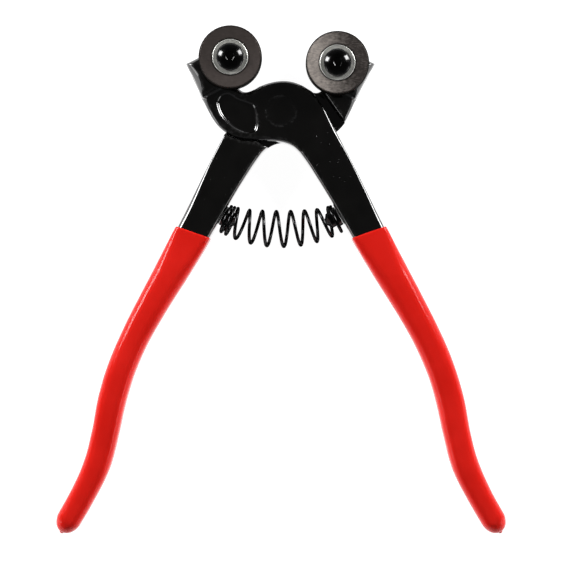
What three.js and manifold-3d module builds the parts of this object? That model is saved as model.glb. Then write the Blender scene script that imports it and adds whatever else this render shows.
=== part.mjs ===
// Wheeled mosaic glass nippers, lying on their back with the handles sprung open.
// Millimetres. The pivot axis is the Z axis, z = 0 is the plane that the tool rests on, the jaws point
// along +Y and the handles along -Y. The front lever has the left jaw and the right handle, and its boss
// lies on top. The back lever has the right jaw and the left handle, and its boss lies underneath.
import * as THREE from "three";
import { mergeVertices } from "three/addons/utils/BufferGeometryUtils.js";
import Module from "manifold-3d";

const wasm = await Module();
wasm.setup();

// Heights above the rest plane.
const LEVER_THICK = 10.6;
const GRIP_THICK = 13.2;
const MID_Z = GRIP_THICK / 2;
const BACK_Z = MID_Z - LEVER_THICK / 2;
const FACE_Z = MID_Z + LEVER_THICK / 2;
const LAP_GAP = 0.2;
const PAD_HIGH = 1.2;
const PAD_Z = FACE_Z + PAD_HIGH;
const STACK_GAP = 0.05;

// Cutting wheels, their hubs and the M5 button-head screws.
const WHEEL_R = 11;
const WHEEL_THICK = 5.5;
const WHEEL_BEVEL = 0.7;
const WHEEL_BORE_R = 4.3;
const HUB_SEAT_R = 6.35;
const HUB_SEAT_DEEP = 1.4;
const HUB_R = 6.2;
const HUB_SLEEVE_R = 4.15;
const HUB_PROUD = 0.1;
const HUB_CHAMFER = 0.3;
const SCREW_R = 2.45;
const SCREW_HOLE_R = 2.7;
const SCREW_END_Z = BACK_Z + 1.5;
const SCREW_CHAMFER = 0.5;
const BUTTON_R = 4.75;
const BUTTON_HIGH = 2.75;
const BUTTON_LAND = 0.35;
const SOCKET_FLATS = 3;
const SOCKET_DEEP = 1.7;
const LEFT_SCREW = [-17.6, 18.15];
const RIGHT_SCREW = [19.6, 16.2];

// Pivot rivet: countersunk flush in front, a low flat head behind.
const RIVET_R = 4.4;
const RIVET_HOLE_R = 4.6;
const RIVET_FACE_R = 5.4;
const RIVET_FACE_DEEP = 1;
const RIVET_HEAD_R = 7;
const RIVET_FLAT_R = 6;
const RIVET_CLEAR = 0.2;

// The half-lap at the pivot.
const LAP_R = 14;
const LAP_CLEAR_DEG = 1;

// Shallow panel pressed into the front of the left jaw.
const PANEL_DEEP = 0.8;

// Grips and the steel tangs inside them. Places along a handle run from t = 0 on the arm to t = 1.
const GRIP_SIDE = 1.1;
const GRIP_COVER = GRIP_THICK / 2 - LEVER_THICK / 2;
const GRIP_GAP = 0.3;
const GRIP_TOP = [[25.3, -45.2], [36.8, -41.2]];
const GRIP_TAPER = 0.9;
const GRIP_ROUND_SHARE = 0.034;
const GRIP_POWER = 3;
const GRIP_STATIONS = 20;
const GRIP_SIDES = 16;
const TANG_END = 0.96;
const SOCKET_END = 0.98;
const TANG_POWER = 4;

// Return spring and the posts that hold it.
const WIRE_R = 0.6;
const COIL_END_R = 4.75;
const COIL_MID_R = 6.2;
const COIL_DEEP_R = 5.95;
const LEFT_COILS = 2;
const FREE_COILS = 7;
const RIGHT_COILS = 1;
const LEFT_LONG = 3.1;
const RIGHT_LONG = 1.3;
const SPRING_END = [19.75, -37.35];
const SPRING_BEND = [10.4, -42.4];
const POST_AT = [20.35, -36.4];
const POST_TURN = 29.5;
const POST_R = 2.8;
const POST_TIP_R = 0.7;
const POST_CONE_LONG = 1.6;
const POST_LONG = 5.2;
const POST_FOOT_R = 3.5;
const POST_FOOT_LONG = 2;
const POST_GAP = 0.3;

// Facets.
const ROUND = 40;
const SCREW_SIDES = 32;
const DOME_STEPS = 6;
const POST_SIDES = 24;
const WIRE_SIDES = 6;
const STEPS_A_COIL = 12;

// A reach past every edge of the tool, for the blocks that cut it.
const FAR = 60;

const enamel = new THREE.MeshStandardMaterial({ color: 0x0d0d0e, roughness: 0.22, metalness: 0.1 });
const blackened = new THREE.MeshStandardMaterial({ color: 0x121213, roughness: 0.3, metalness: 0.6 });
const springSteel = new THREE.MeshStandardMaterial({ color: 0x1a1a1b, roughness: 0.35, metalness: 0.7 });
const pvc = new THREE.MeshStandardMaterial({ color: 0xe01a1c, roughness: 0.28, metalness: 0 });
const carbide = new THREE.MeshStandardMaterial({ color: 0x4a4442, roughness: 0.38, metalness: 0.85 });
const zinc = new THREE.MeshStandardMaterial({ color: 0xc4c6c8, roughness: 0.25, metalness: 0.95 });

// Boolean solids.

function solidOf(geometry) {
  const bare = geometry.clone();
  bare.deleteAttribute("normal");
  bare.deleteAttribute("uv");
  const merged = mergeVertices(bare, 1e-4);
  return new wasm.Manifold(
    new wasm.Mesh({
      numProp: 3,
      vertProperties: new Float32Array(merged.attributes.position.array),
      triVerts: new Uint32Array(merged.index.array),
    }),
  );
}

function geometryOf(solid) {
  const made = solid.getMesh();
  const geometry = new THREE.BufferGeometry();
  geometry.setAttribute("position", new THREE.BufferAttribute(made.vertProperties, 3));
  geometry.setIndex(new THREE.BufferAttribute(made.triVerts, 1));
  geometry.computeVertexNormals();
  return geometry;
}

function named(name, geometry, material) {
  const mesh = new THREE.Mesh(geometry, material);
  mesh.name = name;
  return mesh;
}

// A flat shape standing from z = low to z = high.
function plate(shape, low, high, steps = 4) {
  const geometry = new THREE.ExtrudeGeometry(shape, {
    depth: high - low,
    bevelEnabled: false,
    curveSegments: steps,
  });
  return solidOf(geometry.translate(0, 0, low));
}

// A solid of revolution about Z through (x, y). The profile is [radius, z] pairs that run upwards from
// the axis and back to it, or round a closed ring with its outside first.
function turned(profile, [x, y] = [0, 0], segments = ROUND) {
  const outline = profile.map(([r, z]) => new THREE.Vector2(r, z));
  const geometry = new THREE.LatheGeometry(outline, segments);
  return solidOf(geometry.rotateX(Math.PI / 2).translate(x, y, 0));
}

function drum(radius, low, high, centre = [0, 0], segments = ROUND) {
  return turned([[0, low], [radius, low], [radius, high], [0, high]], centre, segments);
}

// A block of the half-plane on the left of the line from a to b, between two heights.
function leftOf([ax, ay], [bx, by], low, high) {
  const along = new THREE.Vector2(bx - ax, by - ay).normalize();
  const box = new THREE.BoxGeometry(2 * FAR, FAR, high - low);
  box.translate(0, FAR / 2, 0).rotateZ(along.angle());
  return solidOf(box.translate(ax, ay, (low + high) / 2));
}

// Levers.

const points = (list, side) => list.map(([x, y]) => new THREE.Vector2(side * x, y));

// The jaw's outer corner and shoulder: the front lever's head is a little fuller than the back lever's.
const FULL_CORNER = [[-33.3, 16.7], [-27.4, 3.6]];
const FULL_SHOULDER = [[-26.4, 1.5], [-25.2, -0.8], [-23.8, -3.1], [-22.2, -5.2], [-20, -7.2], [-17.4, -8.8]];
const LEAN_CORNER = [[-32.9, 16.7], [-26.6, 4.7]];
const LEAN_SHOULDER = [[-25.8, 2.9], [-24.8, 0.6], [-22.4, -4], [-19, -7.4]];

// Outline of a lever down to its grip, for side = 1 with the jaw on the left and the handle on the right.
function leverOutline(side) {
  const at = (x, y) => [side * x, y];
  const shape = new THREE.Shape();
  const [corner, turn] = side > 0 ? FULL_CORNER : LEAN_CORNER;
  const shoulder = side > 0 ? FULL_SHOULDER : LEAN_SHOULDER;
  shape.moveTo(...at(...corner));
  shape.lineTo(...at(...turn));
  shape.splineThru(points([...shoulder, [-14.3, -9.8], [-8.6, -10.4], [-2.3, -10.6], [1.6, -11.2],
    [4.4, -12.5], [6.6, -14.5]], side));
  shape.splineThru(points([[10.5, -20.1], [17.4, -31.3], [25.3, -44.9]], side));
  shape.lineTo(...at(36.6, -40.9));
  shape.splineThru(points([[31.8, -31.3], [26.3, -20.1], [15.5, 0.8]], side));
  shape.lineTo(...at(12.5, 5.2));
  shape.splineThru(points([[11.2, 6.9], [9.4, 8.1], [7.2, 9.4], [4.2, 10.5], [0.9, 10.9], [-2.7, 10.5],
    [-6.3, 9.4], [-9.3, 7.9], [-11.9, 6.95], [-13.7, 7.3], [-15, 8.6]], side));
  shape.splineThru(points([[-13.6, 11], [-11.4, 14.4], [-10.5, 18.4], [-11.8, 22.8],
    [-15.2, 25.9]], side));
  shape.closePath();
  return shape;
}

function panelOutline() {
  const shape = new THREE.Shape();
  shape.moveTo(-22, 3.2);
  shape.splineThru(points([[-20.6, 5.4], [-18.2, 5.9], [-15.4, 4.2], [-12, 3], [-9.9, 2], [-9, -0.6],
    [-8.7, -4.6], [-9.6, -7], [-13, -7.1], [-17.4, -4.7], [-20.9, -0.6], [-22, 3.2]], 1));
  return shape;
}

// Centre line and half widths of the handle, grip included, on the right-hand side from the arm down.
const HANDLE_LINE = [[27.6, -36.4], [32.4, -45.2], [38.8, -56.5], [45.3, -67.8], [51.3, -79], [56.2, -90.3],
  [59.6, -101.6], [61.9, -112.9], [64.9, -124.2], [70.2, -135.5], [77.6, -148.3]];
const HANDLE_HALF = [6.25, 6.3, 5.95, 5.4, 5.05, 4.95, 4.98, 4.75, 4.75, 4.4, 4.25];

function between(list, t) {
  const place = t * (list.length - 1);
  const index = Math.min(Math.floor(place), list.length - 2);
  return THREE.MathUtils.lerp(list[index], list[index + 1], place - index);
}

// Stations [t, scale] along the handle: even ones at full size, then a round end of the given share of t.
function handleStations(end, roundShare) {
  const stations = [];
  for (let i = 0; i <= GRIP_STATIONS; i += 1) {
    stations.push([((end - roundShare) * i) / GRIP_STATIONS, 1]);
  }
  for (const degrees of [30, 55, 78]) {
    const turn = THREE.MathUtils.degToRad(degrees);
    stations.push([end - roundShare * (1 - Math.sin(turn)), Math.cos(turn)]);
  }
  return stations;
}

// A closed body lofted along a handle. Its section is an ellipse squared off by the given power, thinner
// than the grip by sideIn at each side and by deepIn above and below.
function handleLoft(side, { end, sideIn, deepIn, power }) {
  const line = new THREE.SplineCurve(points(HANDLE_LINE, side));
  const stations = handleStations(end, GRIP_ROUND_SHARE);
  const squared = (value) => Math.sign(value) * Math.abs(value) ** (2 / power);
  const positions = [];
  for (const [t, scale] of stations) {
    const centre = line.getPoint(t);
    const across = line.getTangent(t).rotateAround(new THREE.Vector2(), Math.PI / 2);
    const wide = (between(HANDLE_HALF, t) - sideIn) * scale;
    const deep = (MID_Z - GRIP_TAPER * Math.max(0, t - 0.5) - deepIn) * scale;
    for (let k = 0; k < GRIP_SIDES; k += 1) {
      const turn = (2 * Math.PI * k) / GRIP_SIDES;
      const u = wide * squared(Math.cos(turn));
      const v = deep * squared(Math.sin(turn));
      positions.push(centre.x + across.x * u, centre.y + across.y * u, MID_Z + v);
    }
  }
  const last = (stations.length - 1) * GRIP_SIDES;
  const index = [];
  for (let ring = 0; ring < last; ring += GRIP_SIDES) {
    for (let k = 0; k < GRIP_SIDES; k += 1) {
      const a = ring + k;
      const b = ring + ((k + 1) % GRIP_SIDES);
      index.push(a, b, a + GRIP_SIDES, b, b + GRIP_SIDES, a + GRIP_SIDES);
    }
  }
  for (let k = 1; k < GRIP_SIDES - 1; k += 1) {
    index.push(0, k + 1, k, last, last + k, last + k + 1);
  }
  const geometry = new THREE.BufferGeometry();
  geometry.setAttribute("position", new THREE.Float32BufferAttribute(positions, 3));
  geometry.setIndex(index);
  return solidOf(geometry);
}

// What is cut from one half of a lever's thickness so that the other lever can lie there and turn: its
// outline at rest and a little past it, a round recess at the pivot, and a relief up to the jaw's shoulder.
const SHOULDER = [[-11.5, 11.5], [-24, -6], [-19, -12], [0, -12], [0, 11.5]];

function lapCutter(side, low, high) {
  const shoulder = new THREE.Shape(points(SHOULDER, side));
  return plate(leverOutline(-side), low, high)
    .rotate([0, 0, -side * LAP_CLEAR_DEG])
    .add(drum(LAP_R, low, high))
    .add(plate(shoulder, low, high));
}

function lever(side, screwAt, padFrom, padTo) {
  const reach = 2 * LEVER_THICK;
  const lap = side > 0
    ? lapCutter(side, -reach, MID_Z + LAP_GAP / 2)
    : lapCutter(side, MID_Z - LAP_GAP / 2, reach);
  const pad = plate(leverOutline(side), MID_Z + LAP_GAP, PAD_Z)
    .intersect(leftOf(padFrom, padTo, 0, reach));
  const tang = handleLoft(side, {
    end: TANG_END,
    sideIn: GRIP_SIDE,
    deepIn: GRIP_COVER,
    power: TANG_POWER,
  });
  return plate(leverOutline(side), BACK_Z, FACE_Z)
    .subtract(lap)
    .add(pad)
    .add(tang)
    .subtract(drum(SCREW_HOLE_R, -reach, reach, screwAt))
    .subtract(drum(RIVET_HOLE_R, -reach, reach));
}

function frontLever() {
  const floorZ = FACE_Z - RIVET_FACE_DEEP - RIVET_CLEAR;
  const mouthR = RIVET_FACE_R + RIVET_CLEAR;
  const sink = turned([[0, floorZ], [RIVET_HOLE_R, floorZ], [mouthR, FACE_Z - RIVET_CLEAR],
    [mouthR, PAD_Z], [0, PAD_Z]]);
  const panel = plate(panelOutline(), FACE_Z - PANEL_DEEP, PAD_Z);
  return lever(1, LEFT_SCREW, [-26, 4.85], [-20, 8]).subtract(sink).subtract(panel);
}

const backLever = () => lever(-1, RIGHT_SCREW, [22.5, 5.7], [25.5, 4.1]);

function pivotRivet() {
  return turned([[0, 0], [RIVET_FLAT_R, 0], [RIVET_HEAD_R, BACK_Z / 2], [RIVET_HEAD_R, BACK_Z - STACK_GAP],
    [RIVET_R, BACK_Z - STACK_GAP], [RIVET_R, FACE_Z - RIVET_FACE_DEEP],
    [RIVET_FACE_R, FACE_Z - RIVET_CLEAR], [RIVET_FACE_R, FACE_Z], [0, FACE_Z]]);
}

// Grips.

function grip(side) {
  const skin = handleLoft(side, { end: 1, sideIn: 0, deepIn: 0, power: GRIP_POWER });
  const socket = handleLoft(side, {
    end: SOCKET_END,
    sideIn: GRIP_SIDE - GRIP_GAP,
    deepIn: GRIP_COVER - GRIP_GAP,
    power: TANG_POWER,
  });
  const [inner, outer] = GRIP_TOP;
  const ends = side > 0 ? [inner, outer] : [outer, inner];
  const [from, to] = ends.map(([x, y]) => [side * x, y]);
  return skin.subtract(socket).subtract(leftOf(from, to, -GRIP_THICK, 2 * GRIP_THICK));
}

// Wheels, hubs and screws, stacked on each jaw's pad.

const WHEEL_Z = PAD_Z + STACK_GAP;
const WHEEL_TOP_Z = WHEEL_Z + WHEEL_THICK;
const HUB_TOP_Z = WHEEL_TOP_Z + HUB_PROUD;

function wheel(centre) {
  const seatZ = WHEEL_TOP_Z - HUB_SEAT_DEEP;
  return turned([[WHEEL_R - WHEEL_BEVEL, WHEEL_Z], [WHEEL_R, WHEEL_Z + WHEEL_BEVEL],
    [WHEEL_R, WHEEL_TOP_Z - WHEEL_BEVEL], [WHEEL_R - WHEEL_BEVEL, WHEEL_TOP_Z], [HUB_SEAT_R, WHEEL_TOP_Z],
    [HUB_SEAT_R, seatZ], [WHEEL_BORE_R, seatZ], [WHEEL_BORE_R, WHEEL_Z],
    [WHEEL_R - WHEEL_BEVEL, WHEEL_Z]], centre);
}

function hub(centre) {
  const flangeZ = WHEEL_TOP_Z - HUB_SEAT_DEEP + STACK_GAP;
  return turned([[HUB_SLEEVE_R, WHEEL_Z], [HUB_SLEEVE_R, flangeZ], [HUB_R, flangeZ],
    [HUB_R, HUB_TOP_Z - HUB_CHAMFER], [HUB_R - HUB_CHAMFER, HUB_TOP_Z], [SCREW_HOLE_R, HUB_TOP_Z],
    [SCREW_HOLE_R, WHEEL_Z], [HUB_SLEEVE_R, WHEEL_Z]], centre);
}

function screw(centre) {
  const seatZ = HUB_TOP_Z + STACK_GAP;
  const topZ = seatZ + BUTTON_HIGH;
  const rise = BUTTON_HIGH - BUTTON_LAND;
  const domeR = (BUTTON_R ** 2 + rise ** 2) / (2 * rise);
  const domeTurn = Math.asin(BUTTON_R / domeR);
  const profile = [[0, SCREW_END_Z], [SCREW_R - SCREW_CHAMFER, SCREW_END_Z],
    [SCREW_R, SCREW_END_Z + SCREW_CHAMFER], [SCREW_R, seatZ], [BUTTON_R, seatZ]];
  for (let k = 0; k <= DOME_STEPS; k += 1) {
    const turn = domeTurn * (1 - k / DOME_STEPS);
    profile.push([domeR * Math.sin(turn), topZ - domeR * (1 - Math.cos(turn))]);
  }
  const corner = SOCKET_FLATS / 2 / Math.cos(Math.PI / 6);
  const key = new THREE.CylinderGeometry(corner, corner, 2 * SOCKET_DEEP, 6);
  key.rotateX(Math.PI / 2).translate(centre[0], centre[1], topZ);
  return turned(profile, centre, SCREW_SIDES).subtract(solidOf(key));
}

// Spring posts and the spring.

function springPost(side, name) {
  const stud = turned([[0, 0], [POST_FOOT_R, 0], [POST_FOOT_R, POST_FOOT_LONG], [POST_R, POST_FOOT_LONG],
    [POST_R, POST_LONG - POST_CONE_LONG], [POST_TIP_R, POST_LONG], [0, POST_LONG]], [0, 0], POST_SIDES);
  const slope = THREE.MathUtils.degToRad(POST_TURN);
  const inwards = new THREE.Vector3(-side * Math.cos(slope), -Math.sin(slope), 0);
  const mesh = named(name, geometryOf(stud), blackened);
  mesh.position.set(side * POST_AT[0], POST_AT[1], MID_Z).addScaledVector(inwards, POST_GAP);
  mesh.quaternion.setFromUnitVectors(new THREE.Vector3(0, 0, 1), inwards);
  return mesh;
}

// The wire's centre line: a barrel-shaped coil about an axis that sags between the posts.
class CoilCurve extends THREE.Curve {
  constructor() {
    super();
    const [x, y] = SPRING_END;
    const [bendX, bendY] = SPRING_BEND;
    this.axis = new THREE.CubicBezierCurve(
      new THREE.Vector2(-x, y),
      new THREE.Vector2(-bendX, bendY),
      new THREE.Vector2(bendX, bendY),
      new THREE.Vector2(x, y),
    );
    this.turns = LEFT_COILS + FREE_COILS + RIGHT_COILS;
    this.freeFrom = LEFT_LONG / this.axis.getLength();
    this.freeTo = 1 - RIGHT_LONG / this.axis.getLength();
  }

  // Share of the axis reached after some turns: slow along the closed end coils, fast along the free ones.
  share(turn) {
    if (turn < LEFT_COILS) {
      return (this.freeFrom * turn) / LEFT_COILS;
    }
    const free = (turn - LEFT_COILS) / FREE_COILS;
    if (free > 1) {
      return this.freeTo + ((1 - this.freeTo) * (turn - LEFT_COILS - FREE_COILS)) / RIGHT_COILS;
    }
    return THREE.MathUtils.lerp(this.freeFrom, this.freeTo, free);
  }

  getPoint(t, target = new THREE.Vector3()) {
    const turn = t * this.turns;
    const share = THREE.MathUtils.clamp(this.share(turn), 0, 1);
    const centre = this.axis.getPointAt(share);
    const along = this.axis.getTangentAt(share);
    const radius = THREE.MathUtils.lerp(COIL_END_R, COIL_MID_R, Math.sin(Math.PI * share));
    const out = radius * Math.cos(2 * Math.PI * turn);
    const up = Math.min(radius, COIL_DEEP_R) * Math.sin(2 * Math.PI * turn);
    return target.set(centre.x - along.y * out, centre.y + along.x * out, MID_Z + up);
  }
}

function returnSpring() {
  const section = new THREE.Shape().absarc(0, 0, WIRE_R, 0, 2 * Math.PI, false);
  const path = new CoilCurve();
  const geometry = new THREE.ExtrudeGeometry(section, {
    steps: STEPS_A_COIL * path.turns,
    extrudePath: path,
    curveSegments: WIRE_SIDES / 2,
  });
  return solidOf(geometry);
}

const nippers = new THREE.Group();
nippers.add(
  named("front_lever", geometryOf(frontLever()), enamel),
  named("back_lever", geometryOf(backLever()), enamel),
  named("pivot_rivet", geometryOf(pivotRivet()), enamel),
  named("return_spring", geometryOf(returnSpring()), springSteel),
);
for (const [hand, side, screwAt] of [["left", -1, LEFT_SCREW], ["right", 1, RIGHT_SCREW]]) {
  nippers.add(
    named(hand + "_grip", geometryOf(grip(side)), pvc),
    springPost(side, hand + "_spring_post"),
    named(hand + "_wheel", geometryOf(wheel(screwAt)), carbide),
    named(hand + "_hub", geometryOf(hub(screwAt)), zinc),
    named(hand + "_screw", geometryOf(screw(screwAt)), blackened),
  );
}

export default nippers;
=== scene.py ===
"""Wheeled mosaic glass nippers: the fine surfaces, materials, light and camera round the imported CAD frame.

Shapes are worked out in millimetres in the frame's axes and scaled to metres as each mesh is made. The
pivot is the Z axis, the tool lies on z = 0, the jaws point along +Y and the handles along -Y.
"""

import math

import bpy
import numpy as np
from mathutils import Matrix, Vector


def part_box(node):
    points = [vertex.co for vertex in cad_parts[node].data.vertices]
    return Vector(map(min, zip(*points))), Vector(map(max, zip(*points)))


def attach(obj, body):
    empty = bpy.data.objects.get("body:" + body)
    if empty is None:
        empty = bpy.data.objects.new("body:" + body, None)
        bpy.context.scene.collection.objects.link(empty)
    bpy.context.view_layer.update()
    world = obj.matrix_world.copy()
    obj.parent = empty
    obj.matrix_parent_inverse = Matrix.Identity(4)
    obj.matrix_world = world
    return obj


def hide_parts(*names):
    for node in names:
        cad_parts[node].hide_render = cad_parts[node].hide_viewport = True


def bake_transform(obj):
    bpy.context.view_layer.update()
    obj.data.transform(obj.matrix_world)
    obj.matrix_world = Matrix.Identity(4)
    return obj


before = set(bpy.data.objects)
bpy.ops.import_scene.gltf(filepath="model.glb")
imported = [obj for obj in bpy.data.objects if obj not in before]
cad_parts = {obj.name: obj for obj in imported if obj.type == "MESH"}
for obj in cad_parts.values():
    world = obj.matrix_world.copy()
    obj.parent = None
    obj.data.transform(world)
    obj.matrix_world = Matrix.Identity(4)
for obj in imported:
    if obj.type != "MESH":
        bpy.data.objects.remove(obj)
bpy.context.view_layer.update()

MM = 0.001
NOISE_SEED = 11


def box_mm(node):
    """Lowest and highest corner of a CAD node in millimetres."""
    low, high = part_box(node)
    return np.array(low) / MM, np.array(high) / MM


def centre_mm(node):
    """Middle of a CAD node's box in the XY plane, in millimetres."""
    low, high = box_mm(node)
    return (low + high)[:2] / 2


# Heights and radii that the frame holds.
RIVET_LOW, RIVET_HIGH = box_mm("pivot_rivet")
FACE_Z = RIVET_HIGH[2]
MID_Z = box_mm("left_grip")[1][2] / 2
BACK_Z = 2 * MID_Z - FACE_Z
PAD_Z = box_mm("front_lever")[1][2]
WHEEL_LOW, WHEEL_HIGH = box_mm("left_wheel")
WHEEL_Z, WHEEL_TOP_Z = WHEEL_LOW[2], WHEEL_HIGH[2]
WHEEL_R = (WHEEL_HIGH[0] - WHEEL_LOW[0]) / 2
HUB_TOP_Z = box_mm("left_hub")[1][2]
SCREW_LOW, SCREW_HIGH = box_mm("left_screw")
SCREW_END_Z, SCREW_TOP_Z = SCREW_LOW[2], SCREW_HIGH[2]
LEFT_SCREW = centre_mm("left_wheel")
RIGHT_SCREW = centre_mm("right_wheel")
RIVET_HEAD_R = (RIVET_HIGH[0] - RIVET_LOW[0]) / 2

# Fits and radii shared with the CAD source.
LAP_GAP = 0.2
LAP_CLEAR_DEG = 1
SCREW_R = 2.45
SCREW_HOLE_R = 2.7
HUB_SLEEVE_R = 4.15
HUB_R = 6.2
HUB_SEAT_R = 6.35
HUB_SEAT_DEEP = 1.4
WHEEL_BORE_R = 4.3
BUTTON_R = 4.75
RIVET_R = 4.4
RIVET_HOLE_R = 4.6
RIVET_FACE_R = 5.4

# ---------------------------------------------------------------------------------------------------
# Mesh helpers
# ---------------------------------------------------------------------------------------------------


def mesh_piece(name, points, faces, sharp_deg=None):
    """A smooth-shaded mesh object from points in millimetres and a list of faces."""
    mesh = bpy.data.meshes.new(name)
    mesh.from_pydata((np.asarray(points, float) * MM).tolist(), [], [list(map(int, f)) for f in faces])
    mesh.validate()
    mesh.polygons.foreach_set("use_smooth", [True] * len(mesh.polygons))
    if sharp_deg is not None:
        mesh.set_sharp_from_angle(angle=math.radians(sharp_deg))
    mesh.update()
    piece = bpy.data.objects.new(name, mesh)
    bpy.context.scene.collection.objects.link(piece)
    return piece


def edge_share(piece, radius_mm, passes=2):
    """Adds a point attribute, edge, that runs from 0 on flat metal to 1 on an edge rounded to radius_mm."""
    mesh = piece.data
    count = len(mesh.vertices)
    points = np.zeros(count * 3)
    normals = np.zeros(count * 3)
    pairs = np.zeros(len(mesh.edges) * 2, int)
    mesh.vertices.foreach_get("co", points)
    mesh.vertex_normals.foreach_get("vector", normals)
    mesh.edges.foreach_get("vertices", pairs)
    points, normals, pairs = points.reshape(-1, 3) / MM, normals.reshape(-1, 3), pairs.reshape(-1, 2)
    a, b = pairs[:, 0], pairs[:, 1]
    step = points[b] - points[a]
    square = np.maximum((step**2).sum(1), 1e-9)
    degree = np.maximum(np.bincount(pairs.ravel(), minlength=count), 1)
    bend = np.bincount(a, -2 * (step * normals[a]).sum(1) / square, count)
    bend += np.bincount(b, 2 * (step * normals[b]).sum(1) / square, count)
    bend /= degree
    for _ in range(passes):
        spread = np.bincount(a, bend[b], count) + np.bincount(b, bend[a], count)
        bend = (bend + spread / degree) / 2
    share = np.clip(bend * radius_mm, 0, 1)
    attribute = mesh.attributes.new("edge", "FLOAT", "POINT")
    attribute.data.foreach_set("value", share.astype(np.float32))


def ride_as(piece, body, node, material):
    """Places a finished piece: its material, the body it rides on and the CAD node it stands for."""
    piece.data.materials.append(material)
    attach(piece, body)
    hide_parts(node)


def catmull(points, t):
    """Points at parameters t, from 0 to 1, on the uniform Catmull-Rom spline through some points."""
    points = np.asarray(points, float)
    last = len(points) - 1
    place = np.clip(np.asarray(t, float), 0, 1) * last
    i = np.minimum(place.astype(int), last - 1)
    w = (place - i)[:, None]
    before, start = points[np.maximum(i - 1, 0)], points[i]
    end, after = points[i + 1], points[np.minimum(i + 2, last)]
    leave, arrive = (end - before) / 2, (after - start) / 2
    return (
        (2 * start - 2 * end + leave + arrive) * w**3
        + (-3 * start + 3 * end - 2 * leave - arrive) * w**2
        + leave * w
        + start
    )


def catmull_slope(points, t, step=1e-4):
    """Unit tangents of that spline."""
    t = np.clip(np.asarray(t, float), step, 1 - step)
    run = catmull(points, t + step) - catmull(points, t - step)
    return run / np.linalg.norm(run, axis=1, keepdims=True)


def grid_faces(rings, sides, closed_ends=True, closed_rings=False):
    """Quads between rings of points, with a fan of one polygon at each open end."""
    faces = []
    for i in range(rings if closed_rings else rings - 1):
        low, high = i * sides, (i + 1) % rings * sides
        for k in range(sides):
            n = (k + 1) % sides
            faces.append((low + k, low + n, high + n, high + k))
    if closed_ends and not closed_rings:
        faces.append(tuple(range(sides))[::-1])
        faces.append(tuple((rings - 1) * sides + k for k in range(sides)))
    return faces


def rounded(profile, radius, steps=5):
    """A profile of (r, z) corners with every inner corner rounded to radius, or less where edges are short.
    A corner given as (r, z, own) has a radius of its own."""
    result = [profile[0][:2]]
    for before, corner, after in zip(profile, profile[1:], profile[2:]):
        own = corner[2] if len(corner) > 2 else radius
        p = np.array(corner[:2], float)
        a, b = np.array(before[:2], float) - p, np.array(after[:2], float) - p
        la, lb = np.linalg.norm(a), np.linalg.norm(b)
        turn = math.acos(np.clip(a @ b / (la * lb), -1, 1))
        cut = min(own / max(math.tan(turn / 2), 1e-6), 0.45 * la, 0.45 * lb)
        if own <= 0 or cut < 1e-4 or turn > 3.1:
            result.append(tuple(p))
            continue
        start, end = p + a / la * cut, p + b / lb * cut
        for k in range(steps + 1):
            w = k / steps
            result.append(tuple((1 - w) ** 2 * start + 2 * w * (1 - w) * p + w * w * end))
    result.append(profile[-1][:2])
    return result


DISC_RINGS = (0.85, 0.5, 0.1)


def turned(name, profile, centre=(0, 0), sides=128, sharp_deg=None):
    """A solid of revolution about Z through centre, from an (r, z) profile that runs round a closed ring,
    or from the axis back to the axis."""
    on_axis = profile[0][0] == 0
    body = [p for p in profile if p[0] > 0] if on_axis else profile[:-1]
    if on_axis:
        low = [(body[0][0] * share, profile[0][1]) for share in reversed(DISC_RINGS)]
        high = [(body[-1][0] * share, profile[-1][1]) for share in DISC_RINGS]
        body = low + body + high
    turn = 2 * math.pi * np.arange(sides) / sides
    points = [
        (centre[0] + r * math.cos(a), centre[1] + r * math.sin(a), z) for r, z in body for a in turn
    ]
    faces = grid_faces(len(body), sides, closed_ends=on_axis, closed_rings=not on_axis)
    return mesh_piece(name, points, faces, sharp_deg=sharp_deg)


# ---------------------------------------------------------------------------------------------------
# Forged levers: a signed distance field on a grid, turned into a mesh of quads
# ---------------------------------------------------------------------------------------------------

GRID_STEP = 0.3
SPLINE_STEPS = 8

# Outline of a lever down into its grip, with the jaw on the left and the handle on the right. Each run
# starts at the last point of the one before: one point is a straight line, more are a spline. The front
# lever, side 1, has a fuller shoulder than the back lever, side -1.
JAW_CORNER = {1: (-33.3, 16.7), -1: (-32.9, 16.7)}
SHOULDER_START = {1: (-27.4, 3.6), -1: (-26.6, 4.7)}
SHOULDER_CURVE = {
    1: [(-26.4, 1.5), (-25.2, -0.8), (-23.8, -3.1), (-22.2, -5.2), (-20, -7.2), (-17.4, -8.8)],
    -1: [(-25.8, 2.9), (-24.8, 0.6), (-22.4, -4), (-19, -7.4)],
}


def lever_runs(side):
    return [
        [JAW_CORNER[side]],
        [SHOULDER_START[side]],
        [*SHOULDER_CURVE[side], (-14.3, -9.8), (-8.6, -10.4), (-2.3, -10.6), (1.6, -11.2), (4.4, -12.5),
         (6.6, -14.5)],
        [(10.5, -20.1), (17.4, -31.3), (25.3, -44.9)],
        [(28.1, -48.1)],
        [(37.8, -44.8)],
        [(36.6, -40.9)],
        [(31.8, -31.3), (26.3, -20.1), (15.5, 0.8)],
        [(12.5, 5.2)],
        [(11.2, 6.9), (9.4, 8.1), (7.2, 9.4), (4.2, 10.5), (0.9, 10.9), (-2.7, 10.5), (-6.3, 9.4),
         (-9.3, 7.9), (-11.9, 6.95), (-13.7, 7.3), (-15, 8.6)],
        [(-13.6, 11), (-11.4, 14.4), (-10.5, 18.4), (-11.8, 22.8), (-15.2, 25.9)],
    ]


# The sunk panel on the front lever's head, as runs like those of the outline.
PANEL_RUNS = [
    [(-22, 3.2)],
    [(-20.6, 5.4), (-18.2, 5.9), (-15.4, 4.2), (-12, 3), (-9.9, 2), (-9, -0.6), (-8.7, -4.6), (-9.6, -7),
     (-13, -7.1), (-17.4, -4.7), (-20.9, -0.6), (-22, 3.2)],
]
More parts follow.
